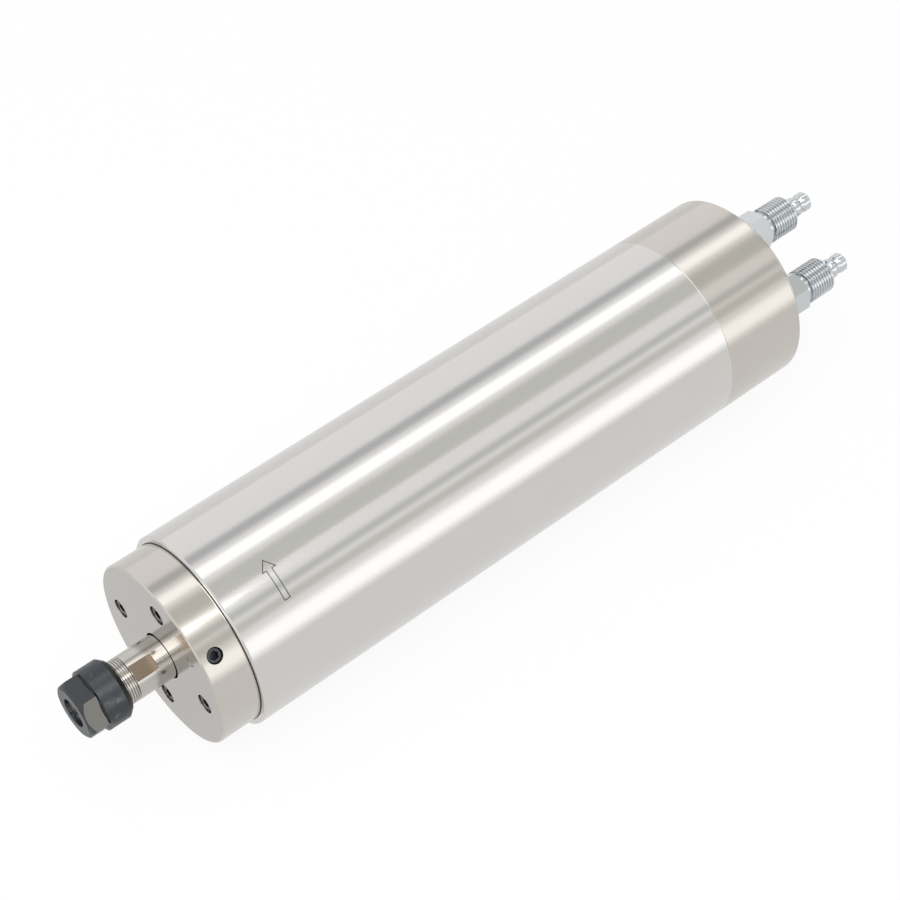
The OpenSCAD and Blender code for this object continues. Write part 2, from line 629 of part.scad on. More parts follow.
module shaft() color("#a8a6a1") difference() {
    turned(concat([[taper_mouth, nose_x], [nose_r - 0.4, nose_x]],
        ridges(nose_x + 0.4, floor((thread_end - nose_x - 0.5)/nose_pitch), nose_pitch, nose_r,
            nose_r - thread_depth),
        [[nose_r, thread_end], [nose_r, cap_wall + 0.4], [f_in, cap_wall + 0.4],
            [f_in, shoulder_x], [9.5, shoulder_x], [9.5, rotor_x0 - end_ring_w],
            [seat_r, rotor_x0 - end_ring_w], [seat_r, rb_x], [r_in, rb_x],
            [r_in, shaft_end - 0.5], [r_in - 0.5, shaft_end], [0, shaft_end],
            [0, shoulder_x], [drill_r, shoulder_x - 2], [drill_r, nose_x + taper_len + 0.4],
            [taper_mouth - taper_len*tan(taper), nose_x + taper_len]]));
    for (s = [0, 180]) at(flat_turn + s)
        translate([-flat_gap - flat_len, -10, flat_af/2]) cube([flat_len, 20, 5]);
}

module slinger() color("#9b9995") turned([[f_in + seat_gap, cap_wall + 0.9],
    [11, cap_wall + 0.9], [11.9, cap_wall + 1.8], [11.9, cap_wall + 3], [9.6, cap_wall + 3],
    [9.6, bearing_x - 4.8], [f_in + seat_gap, bearing_x - 4.8]]);

// Round nut with four spanner slots
module locknut(x0, x1, ri, ro) difference() {
    ring(x0, x1, ri + seat_gap, ro);
    for (i = [0 : 3]) at(90*i, ro - 1.2) translate([x0 - 1, -1.5, 0]) cube([x1 - x0 + 2, 3, 3]);
}
module front_locknut() color("#55585c") locknut(bearing_x - 4.8, bearing_x, f_in, 10.9);
module rear_locknut() color("#55585c") locknut(rb_b + r_brg_w, rb_b + r_brg_w + 5, r_in, 9);

module rotor_core() color("#63666c") ring(rotor_x0, rotor_x1, seat_r + seat_gap, rotor_r);
module end_ring(x0) ring(x0, x0 + end_ring_w, seat_r + seat_gap, rotor_r - 0.3);
module rotor_ring_front() color("#b4b8bc") end_ring(rotor_x0 - end_ring_w);
module rotor_ring_rear() color("#b4b8bc") end_ring(rotor_x1);
module rotor_spacer() color("#8a8d91") ring(rotor_x1 + end_ring_w, rb_x, seat_r + seat_gap, 9.4);

// Collet and nut

module collet() color("#8b8c8e") {
    g = seat_gap;
    xt = nose_x + 0.1;
    x2 = collet_x1;
    rt = taper_mouth - g;
    difference() {
        turned([[tool_r, collet_x0], [4.2, collet_x0], [5.6, collet_x0 + 2.2],
            [5.6, collet_x0 + 2.5], [4.75, collet_x0 + 2.5], [4.75, xt - 0.3], [rt, xt - 0.3],
            [rt, xt], [rt - (x2 - xt)*tan(taper), x2], [tool_r, x2]]);
        for (i = [0 : 3]) {
            at(90*i + 20) translate([collet_x0 - 1, -slit_w/2, 0])
                cube([collet_len - 2.5, slit_w, 8]);
            at(90*i + 65) translate([collet_x0 + 4.6, -slit_w/2, 0])
                cube([collet_len, slit_w, 8]);
        }
    }
}

module collet_nut() color("#3d4043") {
    c = 0.5;
    hx = nut_x0 + nut_hex_len;
    cr = nut_af/2/cos(30);
    bx = nose_x - 0.3;
    difference() {
        union() {
            intersection() {
                rotate([nut_turn, 0, 0]) hex_rod(nut_x0, hx + 0.4, nut_af);
                turned([[0, nut_x0], [nut_af/2 - 0.6, nut_x0], [nut_af/2 + 0.1, nut_x0 + 0.45],
                    [cr, nut_x0 + 1.7], [cr, hx + 0.4], [0, hx + 0.4]]);
            }
            turned([[0, hx], [nut_af/2 - 0.2, hx], [nut_d/2, hx + 0.9], [nut_d/2, nut_x1 - 1.7],
                [nut_d/2 - 0.5, nut_x1 - 1.1], [nose_r + 1, nut_x1], [0, nut_x1]]);
        }
        turned([[0, nut_x0 - 1], [nut_open_d/2 + 1.2, nut_x0 - 1], [nut_open_d/2 + 0.2, nut_x0],
            [nut_open_d/2, nut_x0 + 0.2], [nut_open_d/2, collet_x0 + 0.3],
            [5.62, collet_x0 + 2.2], [5.62, collet_x0 + 2.6], [4.95, collet_x0 + 2.75],
            [4.95, bx - 0.35], [nose_r + run_gap, bx], [nose_r + run_gap, nut_x1 - c],
            [nose_r + run_gap + c, nut_x1 + 0.01], [0, nut_x1 + 0.01]]);
    }
}

// Drawing, shifted so that the origin lies at the middle of the sleeve

translate([-origin_x, 0, 0]) {
    body_sleeve();
    front_cap();
    cap_screws();
    bleed_screw();
    passage_plug();
    front_housing();
    front_o_ring();
    water_jacket();
    jacket_seal_front();
    jacket_seal_rear();
    stator_core();
    stator_windings();
    rear_housing();
    rear_o_ring();
    preload_spring();
    rear_cap();
    rear_cap_screws();
    rear_plate();
    rear_plate_screws();
    water_tube_in();
    water_tube_out();
    water_inlet();
    water_outlet();
    inlet_washer();
    outlet_washer();
    socket_shell();
    socket_nut();
    socket_insert();
    socket_pins();
    motor_leads();
    earth_lead();
    earth_screw();
    front_outer_race_a();
    front_outer_race_b();
    rear_outer_race_a();
    rear_outer_race_b();
    outer_spacer();
    front_cage_a();
    front_cage_b();
    rear_cage_a();
    rear_cage_b();
    front_inner_race_a();
    front_inner_race_b();
    rear_inner_race_a();
    rear_inner_race_b();
    inner_spacer();
    shaft();
    slinger();
    front_locknut();
    rear_locknut();
    rotor_core();
    rotor_ring_front();
    rotor_ring_rear();
    rotor_spacer();
    collet();
    collet_nut();
}
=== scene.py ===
"""Finish, floor, lights and camera for the water-cooled motor spindle.

Lengths are metres in the frame of the part: X along the shaft with the nose towards -X,
Z up, the origin on the axis at the middle of the sleeve.
"""

import math

import bmesh
import bpy
from bpy.props import FloatProperty, FloatVectorProperty, PointerProperty
from mathutils import Matrix, Vector


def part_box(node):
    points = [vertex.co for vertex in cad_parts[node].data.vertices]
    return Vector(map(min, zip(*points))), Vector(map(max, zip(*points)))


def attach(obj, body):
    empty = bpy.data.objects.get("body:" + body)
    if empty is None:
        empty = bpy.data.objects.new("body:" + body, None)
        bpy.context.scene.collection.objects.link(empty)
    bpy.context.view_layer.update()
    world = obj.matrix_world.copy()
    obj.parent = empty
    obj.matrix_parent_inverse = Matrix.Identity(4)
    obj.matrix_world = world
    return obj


bl_info = {
    "name": "Motor Spindle",
    "version": (1, 0, 0),
    "blender": (4, 5, 0),
    "location": "3D View > Sidebar > Spindle",
    "description": "Finishes, small trim and studio for a motor spindle",
    "category": "Object",
}

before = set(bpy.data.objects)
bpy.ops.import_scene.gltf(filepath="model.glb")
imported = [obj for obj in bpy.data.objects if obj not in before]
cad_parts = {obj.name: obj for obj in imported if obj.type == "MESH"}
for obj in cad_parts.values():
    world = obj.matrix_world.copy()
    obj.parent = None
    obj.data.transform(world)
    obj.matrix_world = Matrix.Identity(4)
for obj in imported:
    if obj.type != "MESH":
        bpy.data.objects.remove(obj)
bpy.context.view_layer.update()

MM = 0.001
SLEEVE_LO, SLEEVE_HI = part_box("body_sleeve")
BODY_R = SLEEVE_HI.z
CAP_LO, CAP_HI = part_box("front_cap")
CAP_R = CAP_HI.z
NUT_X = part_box("collet_nut")[0].x

# Where marks and cuts lie that a material colours
ARROW_X = (SLEEVE_LO.x + 9 * MM, SLEEVE_LO.x + 27 * MM)
FLATS_X = (CAP_LO.x - 11.7 * MM, CAP_LO.x - 4.3 * MM)
SHAFT_R = 7 * MM
HEXAGON_END_X = NUT_X + 5.75 * MM
# Way the nut's flat with the painted highlight looks
PAINTED_HIGHLIGHT_FLAT = (0, -0.85, 0.52)
LEAST_DEPTH = 0.03 * MM

# Thin dark ring of painted shade in the joint behind the front cap
SEAM_SHADE_THICK = 0.12 * MM
SEAM_SHADE_X = SLEEVE_LO.x - 0.1 * MM
SEAM_SHADE_RING_R = CAP_R + 0.05 * MM

# Waves per metre of the slow patterns
DRIFT = 45.0
RUBBED_SPOTS = 170.0

# Noise level at which the finish begins to look rubbed, and at which it is rubbed through
RUBBED_FROM, RUBBED_THROUGH = 0.56, 0.74
# Least cosine between a face's normal and the direction it counts as looking in
LOOKS_THAT_WAY = 0.95


def srgb(hex_value):
    """Linear RGBA of an sRGB colour written as six hex digits."""
    parts = [int(hex_value[i:i + 2], 16) / 255 for i in (0, 2, 4)]
    return [c / 12.92 if c <= 0.04045 else ((c + 0.055) / 1.055) ** 2.4 for c in parts] + [1.0]


def rgb(hex_value):
    """Linear RGB of an sRGB colour written as six hex digits."""
    return srgb(hex_value)[:3]


# Sizes and colours


class SpindleFinish(bpy.types.PropertyGroup):
    sleeve: FloatVectorProperty(
        name="Ground steel", description="Colour of the ground sleeve",
        subtype="COLOR", size=3, min=0, max=1, default=rgb("D9D7D4"))
    cap: FloatVectorProperty(
        name="Turned steel", description="Colour of the turned caps and rear plate",
        subtype="COLOR", size=3, min=0, max=1, default=rgb("D0CBC4"))
    # Painted shade: the darker colour of the front cap's end faces
    face: FloatVectorProperty(
        name="Painted shade on end faces", description="Darker colour painted on the front cap's end faces as painted shade",
        subtype="COLOR", size=3, min=0, max=1, default=rgb("B8B4AF"))
    shaft: FloatVectorProperty(
        name="Shaft", description="Colour of the ground shaft nose",
        subtype="COLOR", size=3, min=0, max=1, default=rgb("C6C2BC"))
    nut: FloatVectorProperty(
        name="Black oxide", description="Colour of the blackened nut and screws",
        subtype="COLOR", size=3, min=0, max=1, default=rgb("54575A"))
    plating: FloatVectorProperty(
        name="Plating", description="Colour of the plated fittings",
        subtype="COLOR", size=3, min=0, max=1, default=rgb("D2D6D8"))
    brush_pitch: FloatProperty(
        name="Grinding lines", description="Spacing of the grinding lines round the sleeve",
        subtype="DISTANCE", unit="LENGTH", default=0.25 * MM, min=0.05 * MM, max=2 * MM)
    turn_pitch: FloatProperty(
        name="Turning lines", description="Spacing of the turning lines on the caps' faces",
        subtype="DISTANCE", unit="LENGTH", default=0.3 * MM, min=0.05 * MM, max=2 * MM)


class SpindleStage(bpy.types.PropertyGroup):
    floor: FloatVectorProperty(
        name="Floor", description="Colour of the floor",
        subtype="COLOR", size=3, min=0, max=1, default=rgb("F4F4F4"))
    lens: FloatProperty(
        name="Lens", description="Focal length on a 36 mm wide sensor",
        default=86.888, min=20, max=300)
    clearance: FloatProperty(
        name="Floor gap", description="Height of the spindle's underside above the floor",
        subtype="DISTANCE", unit="LENGTH", default=0.0, min=0.0, max=0.1)
    key: FloatProperty(
        name="Key light", description="Power of the soft light overhead",
        default=7.0, min=0, max=100)


# Materials


def add(tree, kind, links=(), **settings):
    """Adds a node, sets its properties or inputs by name, and links inputs to (node, output)."""
    node = tree.nodes.new(kind)
    for name, value in settings.items():
        if name in node.bl_rna.properties:
            setattr(node, name, value)
        else:
            node.inputs[name.replace("_", " ")].default_value = value
    for name, (source, output) in dict(links).items():
        tree.links.new(source.outputs[output], node.inputs[name])
    return node


def material(name):
    """An empty node material and its tree."""
    mat = bpy.data.materials.new(name)
    mat.use_nodes = True
    mat.node_tree.nodes.clear()
    return mat, mat.node_tree


def finish(tree, shader, kind="Material"):
    """Links the shader to a new output node of a material or a world."""
    out = tree.nodes.new("ShaderNodeOutput" + kind)
    tree.links.new(shader.outputs[0], out.inputs["Surface"])


def compute(tree, operation, source, number):
    """A Math node on one output and one number, as an output."""
    node = add(tree, "ShaderNodeMath", {0: source}, operation=operation)
    node.inputs[1].default_value = number
    return node, "Value"


def combine(tree, operation, first, second):
    """A Math node on two outputs, as an output."""
    return add(tree, "ShaderNodeMath", {0: first, 1: second}, operation=operation), "Value"


def spread(tree, source, **ends):
    """A Map Range node, as an output."""
    return add(tree, "ShaderNodeMapRange", {"Value": source}, **ends), "Result"


def paint_over(tree, share, under, over):
    """Lays the colour over the output under, in the share that an output gives."""
    node = add(tree, "ShaderNodeMix", {"Factor": share, 6: under}, data_type="RGBA")
    node.inputs[7].default_value = list(over) + [1.0]
    return node, 2


def drifting(tree, share, colour, tint):
    """The colour, down to a share tint darker where the output share is low."""
    node = add(tree, "ShaderNodeMix", {"Factor": share}, data_type="RGBA")
    node.inputs[6].default_value = [c * (1 - tint) for c in colour] + [1.0]
    node.inputs[7].default_value = list(colour) + [1.0]
    return node, 2


def from_axis(tree, coord):
    """Distance from the shaft's axis, as an output."""
    split = add(tree, "ShaderNodeSeparateXYZ", {"Vector": (coord, "Object")})
    flat = add(tree, "ShaderNodeCombineXYZ", {"Y": (split, "Y"), "Z": (split, "Z")})
    return add(tree, "ShaderNodeVectorMath", {0: (flat, "Vector")}, operation="LENGTH"), "Value"


def along_axis(tree, coord):
    """Distance along the shaft's axis, as an output."""
    return add(tree, "ShaderNodeSeparateXYZ", {"Vector": (coord, "Object")}), "X"


def shader_mix(tree, share, first, second):
    """A mix of two shader nodes: the output share says how much of the second."""
    mix = add(tree, "ShaderNodeMixShader", {0: share})
    tree.links.new(first.outputs[0], mix.inputs[1])
    tree.links.new(second.outputs[0], mix.inputs[2])
    return mix


def metal(name, colour, rough, line_axis="X", pitch=0.25 * MM, rough_spread=0.04,
          tint=0.05, bump=0.06, wear=None, faced=None, etched=None):
    """A machined metal: fine parallel tool lines, slow colour drift and uneven gloss.

    line_axis "X" gives rings round the shaft, "R" gives rings on a flat end face.
    wear is a second colour that shows through where the finish has rubbed thin.
    faced is a second colour painted on the flat faces that look one way, as painted light and
    shade on that side: (direction they look in, last x, colour).
    etched is one for a shallow cut: ((first x, last x), radius of the surface, colour).
    """
    mat, t = material(name)
    coord = add(t, "ShaderNodeTexCoord")
    if line_axis == "X":
        place = add(t, "ShaderNodeMapping", {"Vector": (coord, "Object")},
                    Scale=(1 / pitch, 3.0, 3.0))
        lines = add(t, "ShaderNodeTexNoise", {"Vector": (place, "Vector")},
                    Scale=1.0, Detail=3.0, Roughness=0.6)
    else:
        steps = compute(t, "DIVIDE", from_axis(t, coord), pitch)
        lines = add(t, "ShaderNodeTexNoise", {"W": steps},
                    noise_dimensions="1D", Scale=1.0, Detail=2.0, Roughness=0.5)
    drift = add(t, "ShaderNodeTexNoise", {"Vector": (coord, "Object")},
                Scale=DRIFT, Detail=4.0, Roughness=0.55)
    colour_out = drifting(t, (drift, "Fac"), colour, tint)
    if wear:
        spots = add(t, "ShaderNodeTexNoise", {"Vector": (coord, "Object")},
                    Scale=RUBBED_SPOTS, Detail=8.0, Roughness=0.7)
        share = spread(t, (spots, "Fac"), From_Min=RUBBED_FROM, From_Max=RUBBED_THROUGH)
        colour_out = paint_over(t, share, colour_out, wear)
    if faced:
        direction, last_x, second = faced
        along = add(t, "ShaderNodeVectorMath", {0: (coord, "Normal")}, operation="DOT_PRODUCT")
        along.inputs[1].default_value = direction
        looks = compute(t, "GREATER_THAN", (along, "Value"), LOOKS_THAT_WAY)
        before = compute(t, "LESS_THAN", along_axis(t, coord), last_x)
        colour_out = paint_over(t, combine(t, "MULTIPLY", looks, before), colour_out, second)
    if etched:
        (x0, x1), surface, second = etched
        below = compute(t, "LESS_THAN", from_axis(t, coord), surface - LEAST_DEPTH)
        after = compute(t, "GREATER_THAN", along_axis(t, coord), x0)
        before = compute(t, "LESS_THAN", along_axis(t, coord), x1)
        inside = combine(t, "MULTIPLY", combine(t, "MULTIPLY", below, after), before)
        colour_out = paint_over(t, inside, colour_out, second)
    gloss = spread(t, (lines, "Fac"), To_Min=rough - rough_spread, To_Max=rough + rough_spread)
    relief = add(t, "ShaderNodeBump", {"Height": (lines, "Fac")}, Strength=bump,
                 Distance=0.01 * MM)
    shader = add(t, "ShaderNodeBsdfPrincipled",
                 {"Base Color": colour_out, "Roughness": gloss, "Normal": (relief, "Normal")},
                 Metallic=1.0)
    finish(t, shader)
    return mat


def soft(name, colour, rough, ior=1.5, grain=0.4 * MM, tint=0.15, bump=0.1):
    """A moulded or drawn non-metal: fine grain, small colour drift."""
    mat, t = material(name)
    coord = add(t, "ShaderNodeTexCoord")
    noise = add(t, "ShaderNodeTexNoise", {"Vector": (coord, "Object")},
                Scale=1 / grain / 4, Detail=4.0)
    gloss = spread(t, (noise, "Fac"), To_Min=rough - 0.05, To_Max=rough + 0.05)
    relief = add(t, "ShaderNodeBump", {"Height": (noise, "Fac")}, Strength=bump,
                 Distance=0.02 * MM)
    shader = add(t, "ShaderNodeBsdfPrincipled",
                 {"Base Color": drifting(t, (noise, "Fac"), colour, tint), "Roughness": gloss,
                  "Normal": (relief, "Normal")}, IOR=ior)
    finish(t, shader)
    return mat


def dress(mat, *nodes):
    """Gives CAD nodes a material in every slot their objects have."""
    for name in nodes:
        obj = bpy.data.objects[name]
        if not obj.material_slots:
            obj.data.materials.append(None)
        for entry in obj.material_slots:
            entry.link = "OBJECT"
            entry.material = mat


# Pieces


def hoop(name, x, radius, thick, around=144, sides=8):
    """A thin round-section ring about the shaft."""
    bm = bmesh.new()
    rows = []
    for i in range(around):
        a = 2 * math.pi * i / around
        row = []
        for j in range(sides):
            b = 2 * math.pi * j / sides
            r = radius + thick * math.cos(b)
            row.append(bm.verts.new((x + thick * math.sin(b), r * math.sin(a), r * math.cos(a))))
        rows.append(row)
    for i in range(around):
        near, far = rows[i], rows[(i + 1) % around]
        for j in range(sides):
            k = (j + 1) % sides
            bm.faces.new((near[j], near[k], far[k], far[j])).smooth = True
    bmesh.ops.recalc_face_normals(bm, faces=bm.faces)
    mesh = bpy.data.meshes.new(name)
    bm.to_mesh(mesh)
    bm.free()
    obj = bpy.data.objects.new(name, mesh)
    bpy.context.scene.collection.objects.link(obj)
    return obj


class SPINDLE_OT_sleeve(bpy.types.Operator):
    """Finish the ground sleeve"""
    bl_idname = "spindle.sleeve"
    bl_label = "Sleeve"

    def execute(self, context):
        look = context.scene.spindle_finish
        # Centreless ground stainless steel: long soft bands along it, hairlines round it
        mat = metal("ground stainless steel", look.sleeve, 0.13, pitch=look.brush_pitch,
                    rough_spread=0.03, tint=0.03, bump=0.05,
                    etched=(ARROW_X, BODY_R, rgb("6B6A66")))
        dress(mat, "body_sleeve")
        return {"FINISHED"}


class SPINDLE_OT_caps(bpy.types.Operator):
    """Finish the front cap, rear cap and rear plate"""
    bl_idname = "spindle.caps"
    bl_label = "Caps"

    def execute(self, context):
        look = context.scene.spindle_finish
        # Turned stainless steel: slightly warmer and duller than the ground sleeve. The front
        # cap's flat faces that look towards the nose are painted darker, as painted shade.
        side = metal("turned stainless steel", look.cap, 0.16, pitch=look.turn_pitch,
                     rough_spread=0.05, tint=0.05, bump=0.08,
                     faced=((-1, 0, 0), SLEEVE_LO.x, look.face))
        dress(side, "front_cap", "rear_cap")
        # Faced stainless steel: fine rings round the shaft, satin
        face = metal("faced stainless steel", look.cap, 0.30, line_axis="R",
                     pitch=look.turn_pitch, rough_spread=0.05)
        dress(face, "rear_plate")
        return {"FINISHED"}


class SPINDLE_OT_nose(bpy.types.Operator):
    """Finish the shaft nose, collet and nut"""
    bl_idname = "spindle.nose"
    bl_label = "Nose"

    def execute(self, context):
        look = context.scene.spindle_finish
        # Ground tool steel: bright and slightly warm
        dress(metal("ground tool steel", look.shaft, 0.15, pitch=0.2 * MM),
              "slinger", "inner_spacer", "outer_spacer", "rotor_spacer")
        # The same steel, with milled spanner flats left brownish by the heat treatment
        dress(metal("ground shaft steel", look.shaft, 0.15, pitch=0.2 * MM,
                    etched=(FLATS_X, SHAFT_R, rgb("7D6F5F"))), "shaft")
        # Hardened spring steel, tempered to a darker grey
        dress(metal("tempered spring steel", rgb("85868A"), 0.28), "collet", "preload_spring")
        # Hot black oxide on steel: nearly black, low gloss, greyer in rubbed spots. The flat that
        # looks towards -Y and up is painted lighter, a painted highlight.
        dress(metal("black oxide on steel with painted highlight", look.nut, 0.36, pitch=0.5 * MM, tint=0.2,
                    bump=0.12, wear=rgb("7A7A78"),
                    faced=(PAINTED_HIGHLIGHT_FLAT, HEXAGON_END_X, rgb("7E7D78"))), "collet_nut")
        return {"FINISHED"}


class SPINDLE_OT_screws(bpy.types.Operator):
    """Finish the screws, plug and locknuts"""
    bl_idname = "spindle.screws"
    bl_label = "Screws"

    def execute(self, context):
        # Black oxide socket screws: dark with a faint sheen on the rims
        dress(metal("blackened screws", rgb("55575A"), 0.34, tint=0.25, bump=0.1),
              "cap_screws", "bleed_screw", "rear_cap_screws", "front_locknut", "rear_locknut")
        # Bright turned steel, no coating
        dress(metal("plain machined steel", rgb("B4B2AE"), 0.26), "rear_plate_screws",
              "passage_plug")
        # Turned brass: yellow, bright
        dress(metal("plain brass", rgb("C9A85C"), 0.25), "earth_screw")
        return {"FINISHED"}


class SPINDLE_OT_fittings(bpy.types.Operator):
    """Finish the hose fittings and their washers"""
    bl_idname = "spindle.fittings"
    bl_label = "Hose fittings"

    def execute(self, context):
        look = context.scene.spindle_finish
        # Bright nickel plate over brass: close to a mirror on the rounded beads
        dress(metal("bright plated brass", look.plating, 0.10, pitch=0.4 * MM, tint=0.04),
              "water_inlet", "water_outlet")
        # Annealed copper: reddish, satin
        dress(metal("soft copper", rgb("C08A5E"), 0.3), "inlet_washer", "outlet_washer")
        # Drawn polyurethane tube: glossy, faintly milky
        dress(soft("polyurethane tube", rgb("9FB6C4"), 0.25, ior=1.5),
              "water_tube_in", "water_tube_out")
        return {"FINISHED"}


class SPINDLE_OT_socket(bpy.types.Operator):
    """Finish the power socket and its wiring"""
    bl_idname = "spindle.socket"
    bl_label = "Power socket"

    def execute(self, context):
        look = context.scene.spindle_finish
        # Nickel plate: bright, slightly duller than the fittings
        dress(metal("nickel plated socket", look.plating, 0.14, pitch=0.4 * MM),
              "socket_shell", "socket_nut")
        # Moulded phenolic: black, satin
        dress(soft("moulded phenolic", rgb("1F2022"), 0.4, ior=1.6), "socket_insert")
        # Thin gold over nickel: pale yellow
        dress(metal("gold flashed pins", rgb("E0BE6A"), 0.2), "socket_pins")
        # Silicone sleeving: waxy, low gloss
        dress(soft("red silicone sleeving", rgb("A8342A"), 0.45, ior=1.41), "motor_leads")
        dress(soft("green silicone sleeving", rgb("3F8A3A"), 0.45, ior=1.41), "earth_lead")
        return {"FINISHED"}


class SPINDLE_OT_insides(bpy.types.Operator):
    """Finish what the sleeve hides: housings, jacket, motor and bearings"""
    bl_idname = "spindle.insides"
    bl_label = "Insides"

    def execute(self, context):
        # Bored steel: satin
        dress(metal("bored housing steel", rgb("B0B2B4"), 0.25), "front_housing", "rear_housing")
        # Milled aluminium: coarse cutter lines
        dress(metal("milled aluminium", rgb("C3C6CA"), 0.3, pitch=0.6 * MM), "water_jacket")
        # Moulded nitrile rubber: black, dull
        dress(soft("moulded nitrile", rgb("26272A"), 0.55, ior=1.52), "front_o_ring",
              "rear_o_ring", "jacket_seal_front", "jacket_seal_rear")
        # Stacked laminations: rings half a millimetre apart, edges slightly burnt
        dress(metal("stacked laminations", rgb("70747A"), 0.4, pitch=0.5 * MM, bump=0.4),
              "stator_core", "rotor_core")
        # Enamelled copper wire: brown, with the ridges of the turns
        dress(metal("enamelled copper", rgb("B5713A"), 0.3, pitch=0.8 * MM, bump=0.5),
              "stator_windings")
        # Die cast aluminium: pale, dull
        dress(metal("cast aluminium", rgb("B4B8BC"), 0.4), "rotor_ring_front", "rotor_ring_rear")
        races = [side + part + mark for side in ("front_", "rear_")
                 for part in ("outer_race_", "inner_race_") for mark in "ab"]
        # Ground and honed bearing steel: bright
        dress(metal("ground bearing steel", rgb("B8BABE"), 0.1), *races)
        # Machined brass: yellow, satin
        dress(metal("brass cage", rgb("C79A4A"), 0.28), "front_cage_a", "front_cage_b",
              "rear_cage_a", "rear_cage_b")
        return {"FINISHED"}


class SPINDLE_OT_seam(bpy.types.Operator):
    """Add a thin dark ring of painted shade in the joint behind the front cap"""
    bl_idname = "spindle.seam"
    bl_label = "Seam"

    def execute(self, context):
        # Painted shade in the joint's gap: a dark, dull, slightly uneven ring
        mat = soft("painted seam shade", rgb("3A3834"), 0.6, ior=1.48)
        obj = hoop("front_seam_shade", SEAM_SHADE_X, SEAM_SHADE_RING_R, SEAM_SHADE_THICK)
        obj.data.materials.append(mat)
        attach(obj, "housing")
        return {"FINISHED"}


# Stage


def flat_piece(name, corners):
    """A flat sheet through four corners; UV runs 0 to 1 each way."""
    mesh = bpy.data.meshes.new(name)
    bm = bmesh.new()
    face = bm.faces.new([bm.verts.new(c) for c in corners])
    layer = bm.loops.layers.uv.new("across")
    for loop, uv in zip(face.loops, ((0, 0), (1, 0), (1, 1), (0, 1))):
        loop[layer].uv = uv
    bm.to_mesh(mesh)
    bm.free()
    obj = bpy.data.objects.new(name, mesh)
    bpy.context.scene.collection.objects.link(obj)
    return obj


def round_dir(angle):
    """Unit vector round the shaft, from +Z towards -Y, in degrees."""
    a = math.radians(angle)
    return Vector((0, -math.sin(a), math.cos(a)))


def glow(name, value, strength, soft_edge):
    """Seen in reflections only: a card that fades out towards both of its long edges."""
    mat, t = material(name)
    path = add(t, "ShaderNodeLightPath")
    uv = add(t, "ShaderNodeTexCoord")
    split = add(t, "ShaderNodeSeparateXYZ", {"Vector": (uv, "UV")})
    shown = (path, "Is Glossy Ray")
    for low, high in ((0.0, soft_edge), (1.0, 1.0 - soft_edge)):
        fade = spread(t, (split, "Y"), From_Min=low, From_Max=high,
                      interpolation_type="SMOOTHSTEP")
        shown = combine(t, "MULTIPLY", shown, fade)
    light = add(t, "ShaderNodeEmission", Color=list(value) + [1.0], Strength=strength)
    clear = add(t, "ShaderNodeBsdfTransparent")
    finish(t, shader_mix(t, shown, clear, light))
    return mat


# What stands round the spindle: the angles on the barrel where each begins and ends in
# reflection, its colour, its strength and the share of its width that fades at each edge
STRIP_LIGHT = "FFFFFF"
DARK_FLAG = "C8CACE"
SOFT_FLAG = "D0D2D2"
PALE_FLAG = "DADBD7"
CARDS = (
    ("upper flag", -7, 2.5, DARK_FLAG, 1.0, 0.40),
    ("upper strip", 3, 11.8, STRIP_LIGHT, 1.6, 0.28),
    ("middle flag", 12.5, 26, PALE_FLAG, 1.0, 0.25),
    ("lower flag", 31, 38, SOFT_FLAG, 1.0, 0.45),
    ("lower pale flag", 38, 45, PALE_FLAG, 1.0, 0.35),
    ("wide light", 46, 60, STRIP_LIGHT, 1.5, 0.35),
)
CARD_DISTANCE = 1.1
CARD_HALF_LENGTH = 1.6

# The floor: half its width, how white the camera and a gloss see it, and how much of that white
# covers the floor's own shading
FLOOR_HALF = 3.0
FLOOR_IN_GLOSS = 0.84
FLOOR_WHITE_SHARE = 0.90
SKY_LIGHT = 0.75

LAMP_AT = Vector((-0.35, -0.25, 1.0))
LAMP_SIZE = (1.2, 0.8)

# The photograph's viewpoint and the picture's axes in the frame of the part
CAMERA_AT = Vector((-0.26095, -0.31492, 0.50522))
CAMERA_RIGHT = Vector((0.76724, -0.64136, 0.0))
CAMERA_DOWN = Vector((-0.49425, -0.59126, -0.63728))
CAMERA_AHEAD = Vector((0.40873, 0.48895, -0.77063))


def seen_rays(tree):
    """1 for rays that show the background itself: to the camera, in a gloss or through glass."""
    path = add(tree, "ShaderNodeLightPath")
    seen = (path, "Is Camera Ray")
    for kind in ("Is Glossy Ray", "Is Transmission Ray"):
        seen = combine(tree, "MAXIMUM", seen, (path, kind))
    return seen


def mirrored(angle):
    """Where a mirror on the barrel at that angle looks, across the shaft, as an angle."""
    across = Vector((0, CAMERA_AT.y, CAMERA_AT.z))
    n = round_dir(angle)
    ray = (across - n * BODY_R).normalized()
    out = 2 * ray.dot(n) * n - ray
    return math.degrees(math.atan2(-out.y, out.z))


def lay_floor(look):
    """A floor that looks nearly white but keeps the object's shadow."""
    z = -BODY_R - look.clearance
    floor = flat_piece("floor", [(x * FLOOR_HALF, y * FLOOR_HALF, z)
                                 for x, y in ((-1, -1), (1, -1), (1, 1), (-1, 1))])
    mat, t = material("pale floor")
    base = add(t, "ShaderNodeBsdfPrincipled", Roughness=0.8, Base_Color=list(look.floor) + [1])
    path = add(t, "ShaderNodeLightPath")
    level = spread(t, (path, "Is Camera Ray"), To_Min=FLOOR_IN_GLOSS)
    white = add(t, "ShaderNodeEmission", {"Strength": level}, Color=(1, 1, 1, 1))
    share = compute(t, "MULTIPLY", seen_rays(t), FLOOR_WHITE_SHARE)
    finish(t, shader_mix(t, share, base, white))
    floor.data.materials.append(mat)


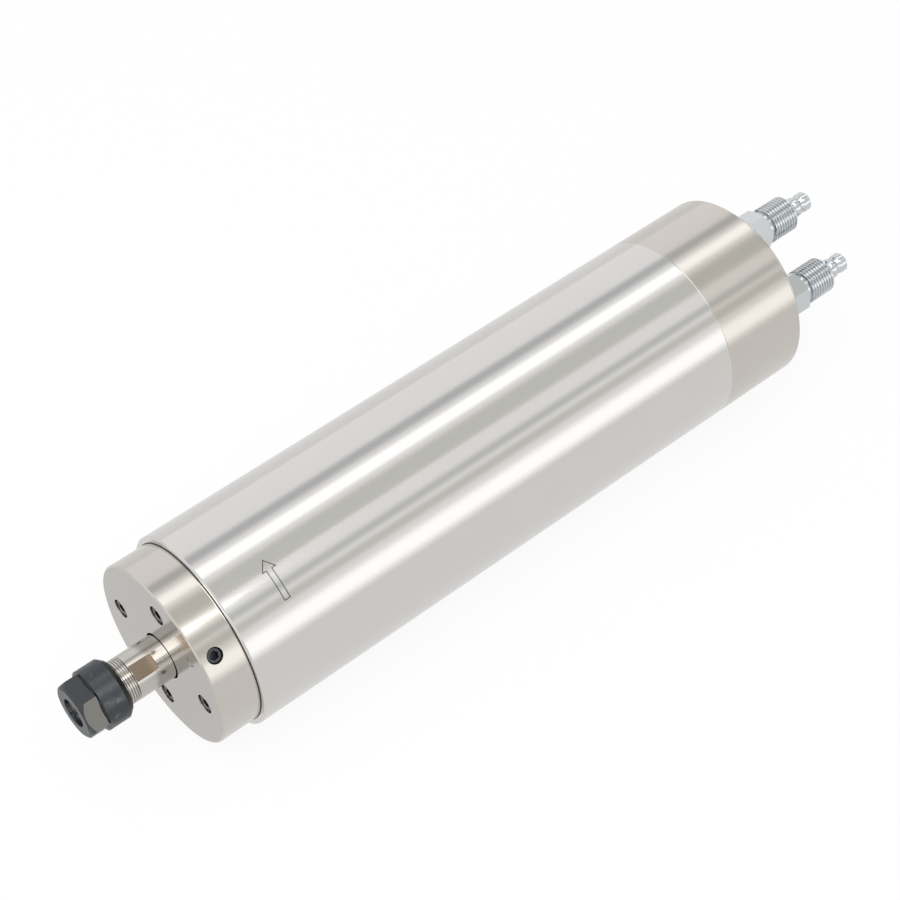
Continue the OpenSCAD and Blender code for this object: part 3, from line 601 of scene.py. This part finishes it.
def hang_cards():
    """The sheets round the spindle that its polished metal reflects."""
    for label, a0, a1, tone, strength, soft_edge in CARDS:
        near, far = (round_dir(mirrored(a)) * CARD_DISTANCE for a in (a0, a1))
        card = flat_piece("card " + label, [
            (-CARD_HALF_LENGTH, near.y, near.z), (CARD_HALF_LENGTH, near.y, near.z),
            (CARD_HALF_LENGTH, far.y, far.z), (-CARD_HALF_LENGTH, far.y, far.z)])
        card.data.materials.append(glow(label, rgb(tone), strength, soft_edge))
        card.visible_shadow = False


def light_studio(scene, look):
    """A white surround and one soft light overhead."""
    world = bpy.data.worlds.new("studio")
    world.use_nodes = True
    w = world.node_tree
    w.nodes.clear()
    sky = add(w, "ShaderNodeBackground", Color=(1, 1, 1, 1), Strength=SKY_LIGHT)
    white = add(w, "ShaderNodeBackground", Color=(1, 1, 1, 1), Strength=1.0)
    finish(w, shader_mix(w, seen_rays(w), sky, white), "World")
    scene.world = world

    lamp = bpy.data.lights.new("overhead softbox", "AREA")
    lamp.shape = "RECTANGLE"
    lamp.size, lamp.size_y = LAMP_SIZE
    lamp.energy = look.key
    key = bpy.data.objects.new("overhead softbox", lamp)
    key.location = LAMP_AT
    key.rotation_euler = (-LAMP_AT).to_track_quat("-Z", "Y").to_euler()
    scene.collection.objects.link(key)


def place_camera(scene, look):
    """The camera at the photograph's viewpoint."""
    data = bpy.data.cameras.new("camera")
    data.sensor_width = 36
    data.lens = look.lens
    data.clip_end = 20
    cam = bpy.data.objects.new("camera", data)
    cam.matrix_world = Matrix.Translation(CAMERA_AT) @ Matrix(
        (CAMERA_RIGHT, -CAMERA_DOWN, -CAMERA_AHEAD)).transposed().to_4x4()
    scene.collection.objects.link(cam)
    scene.camera = cam
    scene.view_settings.view_transform = "Standard"


class SPINDLE_OT_stage(bpy.types.Operator):
    """Set up the floor, the light and the camera"""
    bl_idname = "spindle.stage"
    bl_label = "Stage"

    def execute(self, context):
        look = context.scene.spindle_stage
        lay_floor(look)
        hang_cards()
        light_studio(context.scene, look)
        place_camera(context.scene, look)
        return {"FINISHED"}


class SPINDLE_PT_panel(bpy.types.Panel):
    """Lists the steps that dress the spindle"""
    bl_idname = "SPINDLE_PT_panel"
    bl_label = "Spindle"
    bl_space_type = "VIEW_3D"
    bl_region_type = "UI"
    bl_category = "Spindle"

    def draw(self, context):
        for group in (context.scene.spindle_finish, context.scene.spindle_stage):
            for name in group.bl_rna.properties.keys():
                if name not in {"rna_type", "name"}:
                    self.layout.prop(group, name)
        for step in STEPS:
            self.layout.operator(step.bl_idname)


STEPS = (SPINDLE_OT_sleeve, SPINDLE_OT_caps, SPINDLE_OT_nose, SPINDLE_OT_screws,
         SPINDLE_OT_fittings, SPINDLE_OT_socket, SPINDLE_OT_insides, SPINDLE_OT_seam,
         SPINDLE_OT_stage)
CLASSES = (SpindleFinish, SpindleStage) + STEPS + (SPINDLE_PT_panel,)


def register():
    for cls in CLASSES:
        bpy.utils.register_class(cls)
    bpy.types.Scene.spindle_finish = PointerProperty(type=SpindleFinish)
    bpy.types.Scene.spindle_stage = PointerProperty(type=SpindleStage)


def unregister():
    del bpy.types.Scene.spindle_finish
    del bpy.types.Scene.spindle_stage
    for cls in reversed(CLASSES):
        bpy.utils.unregister_class(cls)


def main():
    register()
    for step in STEPS:
        group, name = step.bl_idname.split(".")
        if getattr(getattr(bpy.ops, group), name)() != {"FINISHED"}:
            raise RuntimeError(f"{step.bl_label} did not finish")


if __name__ == "__main__":
    main()
